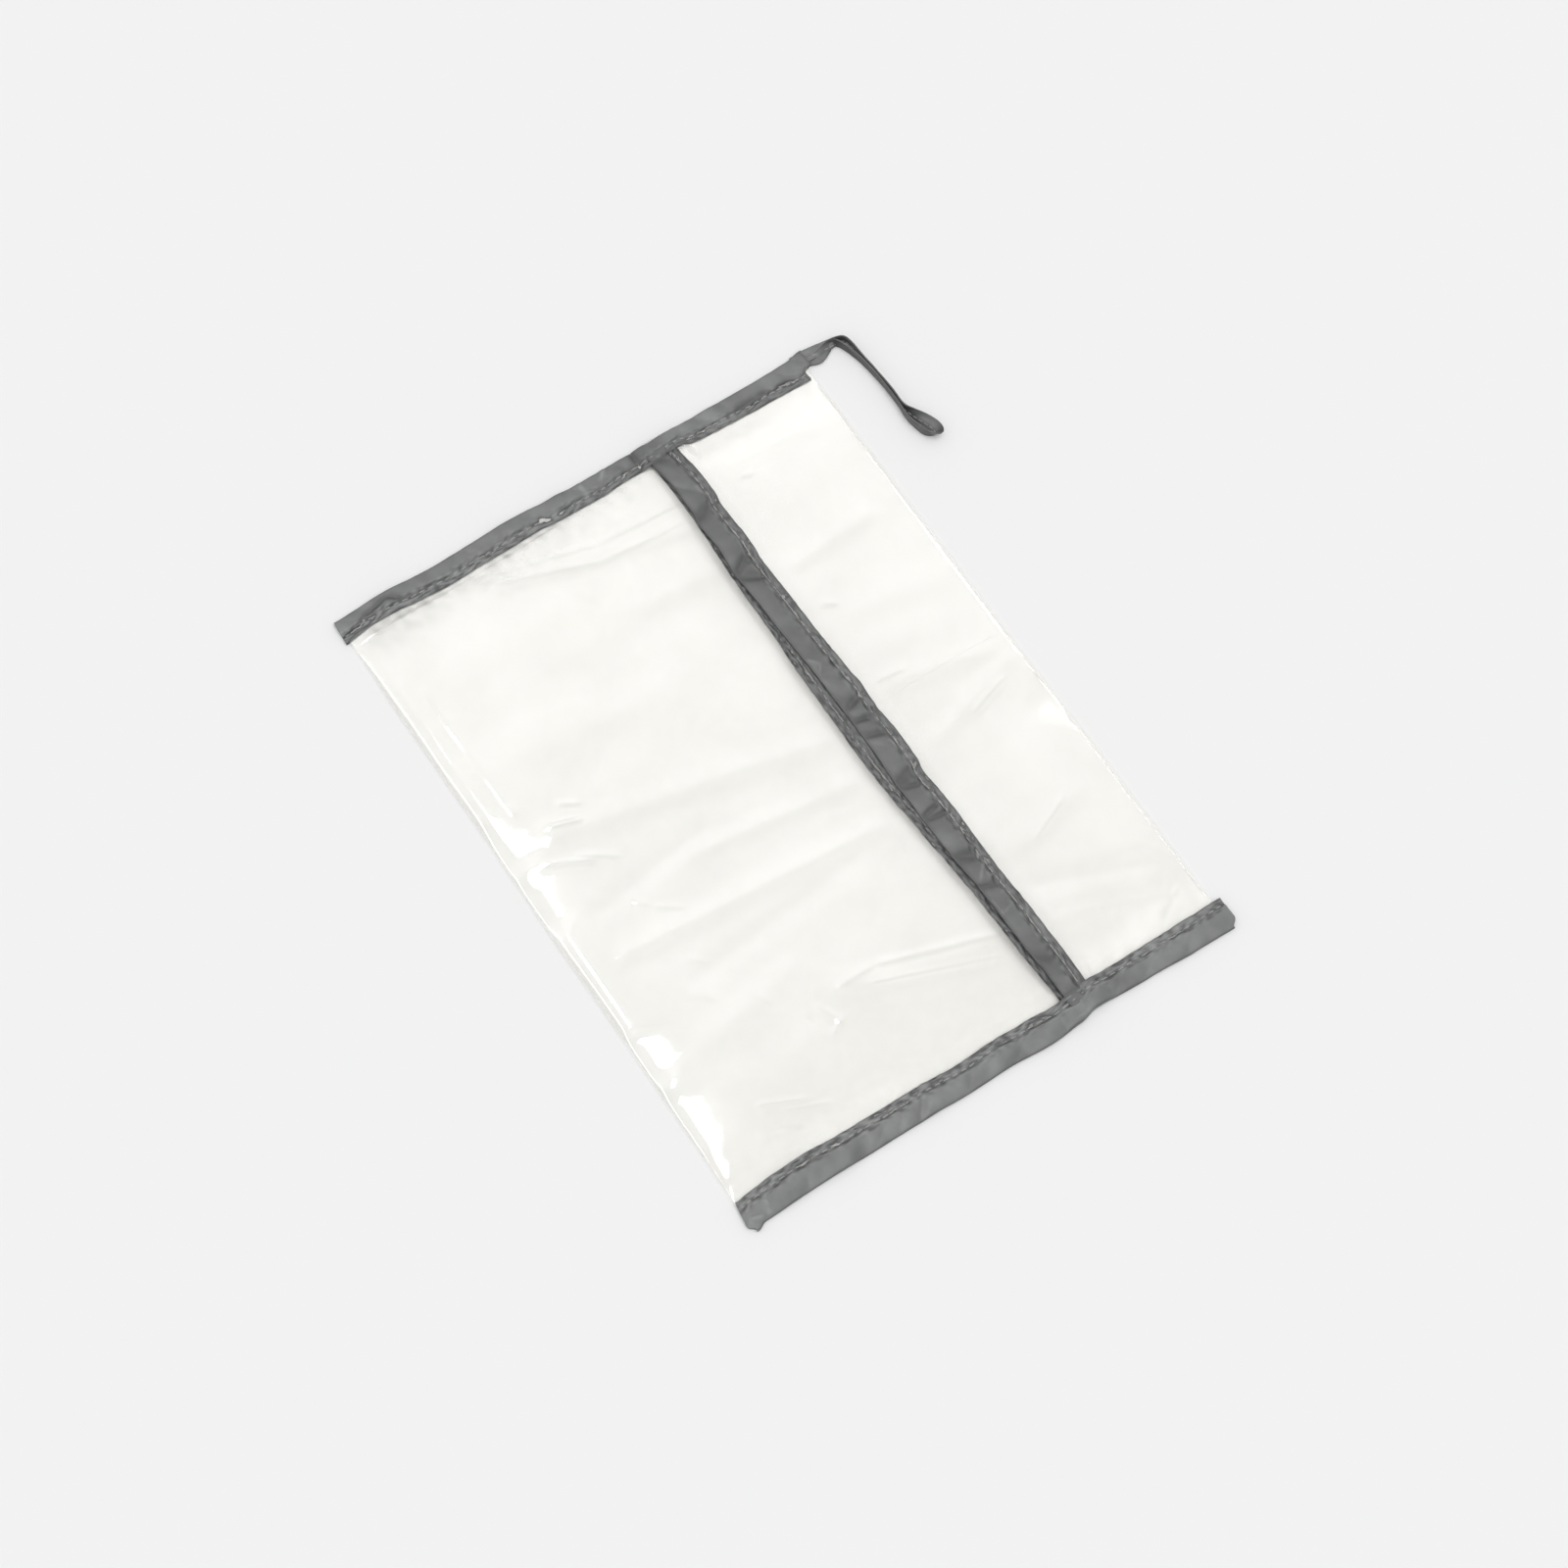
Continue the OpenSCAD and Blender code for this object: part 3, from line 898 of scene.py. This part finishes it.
# Creases across each tape: (place along, distance from its sewn edge) at both ends, width, height
FLAP_TAPE_CREASES = [
    ((-130, 5), (-123, 14), 2.2, -0.5),
    ((-97, 4), (-90, 14), 2.3, -1.0),
    ((-82, 4), (-88, 14), 2.2, -0.9),
    ((-36, 13), (-31, 9), 0.7, 0.51),
    ((-31, 9), (-26, 12), 0.7, 0.51),
    ((-9, 3), (-4, 13), 2.0, -0.8),
    ((4, 4), (2, 14), 1.2, -0.68),
    ((14, 4), (11, 14), 1.5, -0.68),
    ((34, 3), (39, 15), 2.3, -0.6),
    ((44, 4), (41, 13), 1.2, -0.59),
    ((56, 4), (58, 14), 1.2, -0.68),
    ((62, 4), (60, 14), 1.1, -0.59),
    ((87, 4), (82, 14), 2.6, -0.85),
    ((92, 5), (98, 10), 0.7, 0.51),
    ((104, 4), (100, 14), 1.6, -0.59),
    ((108, 12), (117, 12), 0.7, 0.51),
    ((114, 4), (117, 12), 0.8, 0.51),
    ((148, 6), (140, 14), 2.0, -0.42),
]
POCKET_TAPE_CREASES = [((-60, 3), (-54, 13), 1.4, -0.68), ((25, 3), (29, 13), 1.4, -0.68)]
LOOP_END_CREASES = [
    ((31, 1), (31, 14), 1.2, -0.77),
    ((12, 8), (16, 12), 0.9, 0.7),
    ((3, 4), (2, 12), 0.8, 0.51),
    ((-18, 2), (-24, 6), 1.0, -0.85),
    ((-14, 3), (-20, 4), 0.9, 0.59),
    ((-96, 4), (-104, 9), 1.3, -0.85),
    ((-104, 9), (-120, 5), 1.2, -0.59),
    ((-120, 3), (-130, 4), 0.9, -0.68),
    ((118, 4), (108, 5), 1.3, -0.68),
    ((104, 6), (84, 5), 1.2, -0.42),
]
PLAIN_END_CREASES = [
    ((-117, 5), (-119, 14), 0.8, 0.8),
    ((-122, 13), (-128, 10), 0.9, 0.8),
    ((-76, 4), (-82, 2), 0.9, -0.68),
    ((-92, 3), (-100, 5), 0.9, -0.59),
    ((52, 14), (44, 3), 2.0, 0.42),
]


def beside(distance, reach):
    """1 at a line, falling away smoothly to both sides of it."""
    return np.exp(-(distance / reach) ** 2)


def seam_rumple(s, v, seed):
    """Small wrinkles that lean along a tape's stitches and die out away from them, about -0.6 to 0.6."""
    bent = v + 1.6 * wobble(s / 9, v / 5, seed + 8)
    return wobble(s / 3.6, bent / 1.05, seed + 1) * ease(v / 0.6) * ease((RUMPLE_W - v) / 2.5)


def tape_relief(s, v, width, creases, seed):
    """How far the upper leg of a sewn tape stands above where it would lie flat.

    s runs along the tape and v across it, from its sewn edge to its fold.
    """
    along_stitch = np.cos(2 * np.pi * s / STITCH_PITCH)
    pulled = beside(v - STITCH_INSET, 0.9) * (0.7 + 0.3 * along_stitch)
    flare = np.exp(-v / 1.3) * (0.35 + wobble(s / 5, 0, seed) + 0.25 * along_stitch)
    bowed = np.sin(np.pi * np.clip((v - BELLY_START) / (width - BELLY_START), 0, 1))
    belly = bowed * (0.35 + 0.5 * wobble(s / 18, 1, seed))
    pucker = along_stitch * beside(v - PUCKER_INSET, 1.4)
    facets = np.abs(wobble(s / 12 + v / 14, v / 26, seed + 2)) * ease((v - 2) / 4)
    rumple = seam_rumple(s, v, seed)
    rise = -0.4 * pulled + 0.35 * flare + belly + 0.8 * rumple + 0.14 * pucker + 1.5 * facets
    return rise + ridge_height(s, v, creases, TAPE_SHARPNESS)


def tape_shade(s, v, width, creases, seed, look):
    """How dark a sewn tape looks: darker along its edges, with painted shade along its stitches, in its
    wrinkles and in its creases.

    look is (tone, darkness of its sewn edge, of its folded edge, of the painted shade in its wrinkles along
    s).
    """
    tone, sewn_edge, folded_edge, wrinkled = look
    # Painted shade along the stitch row, deeper between stitches, and in a line just past it
    gap = 0.5 - 0.5 * np.cos(2 * np.pi * (s / STITCH_PITCH - 0.36))
    row = beside(v - STITCH_INSET, 0.8) * (0.1 + 0.35 * gap)
    under = 0.3 * beside(v - STITCH_INSET - 1.1, 0.5)
    # Painted shade in the hollows of the rumpled margin, painted light on its crests
    rumple = seam_rumple(s, v, seed)
    margin = along(wrinkled, s) * (2.2 * np.maximum(0, -rumple - 0.03) - 0.9 * np.maximum(0, rumple))
    edges = sewn_edge * beside(v, 0.8) + folded_edge * beside(width - v, 0.9)
    # Painted shade in the creases and painted light on the raised ones, over a wider band than their relief
    shaded = [(start, end, 1.7 * size, height if height > 0 else max(1.5 * height, DEEPEST_CREASE))
              for start, end, size, height in creases]
    folded = ridge_height(s, v, shaded)
    uneven = 0.36 * wobble(s / 13, v / 12, seed + 6) + 0.2 * wobble(s / 5, v / 30, seed + 7)
    return tone * np.clip(1 - row - under - margin - edges + 1.15 * folded + uneven, *TAPE_SHADES)


def folded_tape(s, sewn, fold, upper, lower, creases, seed):
    """Grid of a tape folded over an edge, as its places along, across and up.

    sewn and fold are the places across of its sewn and folded edges; upper and lower give the
    height of its legs over (s, across).
    """
    outwards = np.sign(fold - sewn)[:, None]
    width = np.abs(fold - sewn)[:, None]
    radius = (upper(s, fold) - lower(s, fold))[:, None] / 2 * TURN_SHARE
    across = sewn[:, None] + outwards * (width - radius) * np.linspace(0, 1, LEG_STEPS)
    column = np.repeat(s[:, None], LEG_STEPS, axis=1)
    v = np.abs(across - sewn[:, None])
    high = upper(column, across) + tape_relief(column, v, TAPE_W, creases, seed)
    low = lower(column, across)
    end_high, end_low = high[:, -1:], low[:, -1:]
    angle = np.linspace(np.pi / 2, -np.pi / 2, TURN_STEPS + 2)[1:-1]
    turn_across = across[:, -1:] + outwards * radius * np.cos(angle)
    turn_z = (end_high + end_low) / 2 + (end_high - end_low) / 2 * np.sin(angle)
    full_across = np.concatenate([across, turn_across, across[:, ::-1]], axis=1)
    full_z = np.concatenate([high, turn_z, low[:, ::-1]], axis=1)
    return np.repeat(s[:, None], full_across.shape[1], axis=1), full_across, full_z


def seam_height(s, across, upper, lower, rise, creases, seed):
    """Height of a tape's seam; rise is 1 on its upper face and -1 underneath."""
    if rise < 0:
        return lower(s, across)
    return upper(s, across) + tape_relief(s, STITCH_INSET, TAPE_W, creases, seed)


def lying(s, pitch, shown, dive):
    """1 where a stitch lies on top, 0 where it has dived."""
    t = (s / pitch) % 1.0
    return ease(t / dive) * ease((shown - t) / dive)


def stitch_path(s0, s1, seam, rise):
    """Points of a lockstitch thread: it lies on the tape, and dives into it between stitches.

    seam(s, rise) gives the seam's points on the tape.
    """
    s = stations(s0, s1, STITCH_PITCH / STITCH_POINTS)
    unevenness = wobble(np.floor(s / STITCH_PITCH) * 0.37, 0.5, 15)
    height = lying(s, STITCH_PITCH, STITCH_SHARE, STITCH_DIVE) * np.minimum(1, 0.85 + 0.7 * unevenness)
    proud = NEEDLE_PROUD if rise > 0 else BOBBIN_PROUD
    points = seam(s, rise)
    points[:, 2] += rise * (-STITCH_DEPTH + (STITCH_DEPTH + TAPE_T / 2 + THREAD_R * proud) * height)
    return points


def with_threads(tape, name, edge, span, seam, suffix=""):
    """A tape and the two threads of its seam, each with its slot and its node."""
    pieces = [(tape, "tape", f"{edge}_binding")]
    for thread, rise in (("needle", 1), ("bobbin", -1)):
        path = stitch_path(*span, seam, rise)
        piece = tube_piece(f"{name}_{thread}{suffix}", path, THREAD_R)
        pieces.append((piece, "thread", f"{edge}_{thread}_thread"))
    return pieces


def build_mouth_tape(name, edge, xs, sewn, fold, film, creases, seed, look, parts):
    """Tape and threads along one edge of the mouth. parts are (suffix, side, first x, last x)."""
    inwards = np.sign(fold[0] - sewn[0])

    def upper(s, across):
        return film(s, across) + LEG_GAP

    def lower(s, across):
        return film(s, across) - LEG_GAP

    s, across, z = folded_tape(xs, sewn, fold, upper, lower, creases, seed)
    grid = np.stack([s, across, z], axis=2)
    normals = grid_normals(grid)
    width = np.abs(fold - sewn)[:, None]
    shade = tape_shade(s, np.abs(across - sewn[:, None]), width, creases, seed, look)
    # Painted shadow across the tapes where they run under an end binding's sewn edge
    cover = SEAM_X + by_side(INNER_WAVE, s, across)
    shade = shade * (1 - 0.7 * beside(np.abs(s) - cover + 0.4, 1.5))

    def seam(s, rise):
        across = np.interp(s, xs, sewn) + inwards * STITCH_INSET
        height = seam_height(s, across, upper, lower, rise, creases, seed)
        return np.stack([s, across, height], axis=1)

    for suffix, side, low, high in parts:
        rows = np.flatnonzero((xs > low - TAPE_STEP / 2) & (xs < high + TAPE_STEP / 2))
        rows = slice(rows[0], rows[-1] + 1)
        tape = sheet_piece(name + suffix, grid[rows], TAPE_T, normals[rows], shade[rows])
        span = max(low, -SEAM_X - SEAM_RUN_ON), min(high, SEAM_X + SEAM_RUN_ON)
        for piece, slot, node in with_threads(tape, name, edge, span, seam, suffix):
            if side:
                sew_flap(piece)
            else:
                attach(piece, "bag")
            finish_piece(piece, slot, node)


def build_mouth():
    reach = SEAM_X + MOUTH_TAPE_RUN_ON
    xs = mirrored_places(stations(0, reach, TAPE_STEP))
    sewn = pocket_sewn_edge(xs) + 0.25 * wobble(xs / 6, 0, 21)
    build_mouth_tape("pocket_tape", "pocket_edge", xs, sewn, sewn + TAPE_W, film_height,
                     POCKET_TAPE_CREASES, 20, POCKET_LOOK, [("", 0, -reach, reach)])
    middle = mouth_line(xs)
    sewn = middle + TAPE_W / 2 + along(FLAP_SEWN_WAVE, xs) + 0.15 * wobble(xs / 5, 0, 31)
    fold = middle - TAPE_W / 2 + along(FLAP_FOLD_WAVE, xs) + 0.15 * wobble(xs / 5, 0, 32)
    build_mouth_tape("flap_tape", "flap_edge", xs, sewn, fold, flap_height,
                     FLAP_TAPE_CREASES, 30, MOUTH_LOOK, [("_a", -1, -reach, 0), ("_b", 1, 0, reach)])


def end_cut(side, y, v):
    """How far a binding's cut ends stray along Y, across its width."""
    at_top = ease((y - TAPE_Y + 9) / 9)
    at_foot = ease((-TAPE_Y + 9 - y) / 9)
    if side < 0:
        top = -6.2 + 4.2 * ease((v - 5.0) / 2.5) + 0.4 * wobble(v / 3, 0, 40)
        foot = -0.4 + 0.8 * v / TAPE_W
    else:
        top = -0.6 - 3.2 * ease((v - 10) / 5) ** 2 + 0.03 * v
        foot = 1.6 - 0.12 * v + 3.2 * ease((v - 11) / 4) ** 2
    return top * at_top + foot * at_foot


def build_end(side, name, edge, creases, seed, look):
    """Tape and threads over one end of the bag: the loop's end is at side -1."""
    ys = stations(-TAPE_Y, TAPE_Y, TAPE_STEP)
    sewn = SEAM_X + along(INNER_WAVE[side], ys) + 0.2 * wobble(ys / 7, 0, seed)
    fold = END_X + along(OUTER_WAVE[side], ys)

    def upper(y, across):
        bulk = over_mouth(side * SEAM_X, y) * MOUTH_STACK * (1 - 0.5 * ease((across - SEAM_X - 6) / 8))
        return FRONT_Z + LEG_GAP + end_lift(side * across, y) + bulk

    def lower(y, across):
        return BACK_Z - LEG_GAP + end_lift(side * across, y)

    s, across, z = folded_tape(ys, sewn, fold, upper, lower, creases, seed)
    v = across - np.interp(s, ys, sewn)
    grid = np.stack([side * across, s + end_cut(side, s, v), z], axis=2)
    shade = tape_shade(s, v, (fold - sewn)[:, None], creases, seed, look)
    # Painted shadow along the sewn edge where it rides over the mouth's tapes
    shade = shade * (1 - 0.5 * over_mouth(side * SEAM_X, s) * beside(v, 1.0))
    # Painted shade in a line near the loop end's cut end, where the loop comes out
    if side < 0:
        shade = shade * (1 - 0.6 * beside(TAPE_Y - s, 0.9) * ease((v - 5) / 2))
    tape = sheet_piece(name, grid, TAPE_T, shade=shade)

    def seam(y, rise):
        across = np.interp(y, ys, sewn) + STITCH_INSET
        height = seam_height(y, across, upper, lower, rise, creases, seed)
        return np.stack([side * across, y + end_cut(side, y, STITCH_INSET), height], axis=1)

    span = SEAM_SHORT - TAPE_Y, TAPE_Y - SEAM_SHORT
    for piece, slot, node in with_threads(tape, name, edge, span, seam):
        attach(piece, "bag")
        finish_piece(piece, slot, node)


# ---------------------------------------------------------------------------- hanging loop

STRAP_T = 0.75
STRAP_STEP = 0.7
STRAP_COLUMNS = 9
# The loop's seam, in the terms of the tapes' seams
LOOP_SEAM_INSET = 8
LOOP_SEAM_STEP = 0.45
LOOP_PITCH = 3.2
LOOP_STITCH_SHARE = 0.84
LOOP_STITCH_DIVE = 0.12
LOOP_STITCH_DEPTH = 0.15
LOOP_STITCH_PROUD = 0.1

# The strap's middle: x, y, z, lean from flat in degrees, half width
STRAP = [
    (-171.6, 122.5, 1.5, 0, 3.6),
    (-172.0, 127.5, 1.6, 0, 3.5),
    (-171.9, 132.0, 1.6, 3, 3.2),
    (-171.4, 137.0, 1.8, 10, 2.9),
    (-170.9, 142.0, 2.1, 28, 2.5),
    (-170.4, 146.2, 2.6, 58, 2.3),
    (-169.3, 149.6, 2.8, 82, 2.3),
    (-165.2, 151.1, 2.8, 90, 2.3),
    (-157.0, 151.8, 2.7, 94, 2.2),
    (-145.0, 152.7, 2.6, 92, 2.1),
    (-133.0, 153.2, 2.6, 88, 2.1),
    (-124.0, 153.0, 2.6, 84, 2.1),
    (-118.0, 154.9, 2.4, 62, 2.5),
    (-112.0, 157.5, 2.2, 38, 3.0),
    (-106.4, 159.4, 2.2, 36, 3.1),
    (-102.5, 159.0, 2.6, 48, 3.1),
    (-103.2, 156.2, 3.2, 74, 3.0),
    (-106.8, 153.4, 2.8, 92, 2.6),
    (-112.5, 151.9, 2.7, 90, 2.6),
    (-119.0, 151.3, 2.5, 92, 2.1),
    (-126.0, 151.9, 2.4, 90, 2.0),
    (-135.0, 152.0, 2.4, 90, 2.0),
    (-146.0, 151.4, 2.4, 94, 2.0),
    (-156.0, 150.2, 2.4, 96, 2.1),
    (-163.0, 148.4, 2.5, 96, 2.3),
    (-168.4, 146.4, 2.5, 98, 2.4),
    (-171.0, 143.6, 2.2, 118, 2.2),
    (-169.8, 139.6, 1.7, 150, 2.6),
    (-168.2, 134.5, 1.3, 168, 3.1),
    (-169.3, 130.0, 0.9, 178, 2.8),
    (-170.4, 125.0, 0.7, 180, 2.8),
]


def smooth_path(controls, step):
    """Points about a step apart on a smooth curve through the controls, which may carry extra values."""
    controls = np.array(controls, float)
    padded = np.concatenate([2 * controls[:1] - controls[1:2], controls, 2 * controls[-1:] - controls[-2:-1]])
    points = []
    for a, b, c, d in zip(padded, padded[1:], padded[2:], padded[3:]):
        count = max(2, int(np.linalg.norm((c - b)[:3]) / step))
        t = np.linspace(0, 1, count, endpoint=False)[:, None]
        bend = (2 * a - 5 * b + 4 * c - d) * t ** 2 + (3 * b - a - 3 * c + d) * t ** 3
        points.append(b + 0.5 * ((c - a) * t + bend))
    points.append(controls[-1:])
    return np.concatenate(points)


def build_loop():
    path = smooth_path(STRAP, STRAP_STEP)
    centre, lean, half = path[:, :3], np.radians(path[:, 3]), path[:, 4]
    right = np.cross(unit(np.gradient(centre, axis=0) * (1, 1, 0)), (0.0, 0.0, 1.0))
    width_way = -np.cos(lean)[:, None] * right + np.sin(lean)[:, None] * np.array([0, 0, 1.0])
    t = np.linspace(-1, 1, STRAP_COLUMNS)[None, :]
    grid = centre[:, None] + t[..., None] * (half[:, None] * width_way)[:, None]
    normals = grid_normals(grid)
    length = running_length(centre)
    s = length[:, None]
    crinkle = 0.16 * wobble(s / 5, t * 1.3, 50) * (1 - 0.3 * t ** 2)
    grid = grid + normals * crinkle[..., None]
    x, y = grid[..., 0], grid[..., 1]
    # Painted shade: darker where the strap stands upright, in a line across its root and at its bend; also
    # darker on its second half and towards its edges, with mottle and streaks of uneven tone
    upright = np.sin(lean)[:, None] ** 4
    tone = 0.95 - 0.2 * ease((s / length[-1] - 0.55) / 0.1)
    mottle = 0.4 * wobble(s / 4, t * 1.5, 51)
    streaks = 0.6 * wobble(s / 16, t * 2.4, 52) * upright
    shade_across_root = 0.55 * beside(y - 128.4 - 0.12 * (x + 170), 0.7)
    shadow_at_bend = 0.5 * beside(x + 169.6, 2.2) * beside(y - 147.4, 2.8)
    rims = 0.35 * t ** 4
    shade = tone - 0.45 * upright + mottle + streaks - shade_across_root - shadow_at_bend - rims
    strap = sheet_piece("loop_strap", grid, STRAP_T, shade=np.clip(shade, 0.22, 1.4))

    s = stations(LOOP_SEAM_INSET, length[-1] - LOOP_SEAM_INSET, LOOP_SEAM_STEP)
    column = STRAP_COLUMNS // 4
    middle, facing = (np.stack([np.interp(s, length, values[:, column, k]) for k in range(3)], axis=1)
                      for values in (grid, normals))
    height = lying(s, LOOP_PITCH, LOOP_STITCH_SHARE, LOOP_STITCH_DIVE)
    offset = (LOOP_STITCH_DEPTH + STRAP_T / 2 + LOOP_STITCH_PROUD) * height - LOOP_STITCH_DEPTH
    thread = tube_piece("loop_seam", middle + facing * offset[:, None], THREAD_R * 0.8)

    for piece, slot, node in ((strap, "tape", "hang_loop"), (thread, "thread", "loop_thread")):
        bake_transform(piece)
        finish_piece(piece, slot, node)


build_film()
build_mouth()
build_end(-1, "loop_end_tape", "loop_end", LOOP_END_CREASES, 60, LOOP_END_LOOK)
build_end(1, "plain_end_tape", "plain_end", PLAIN_END_CREASES, 70, PLAIN_END_LOOK)
build_loop()
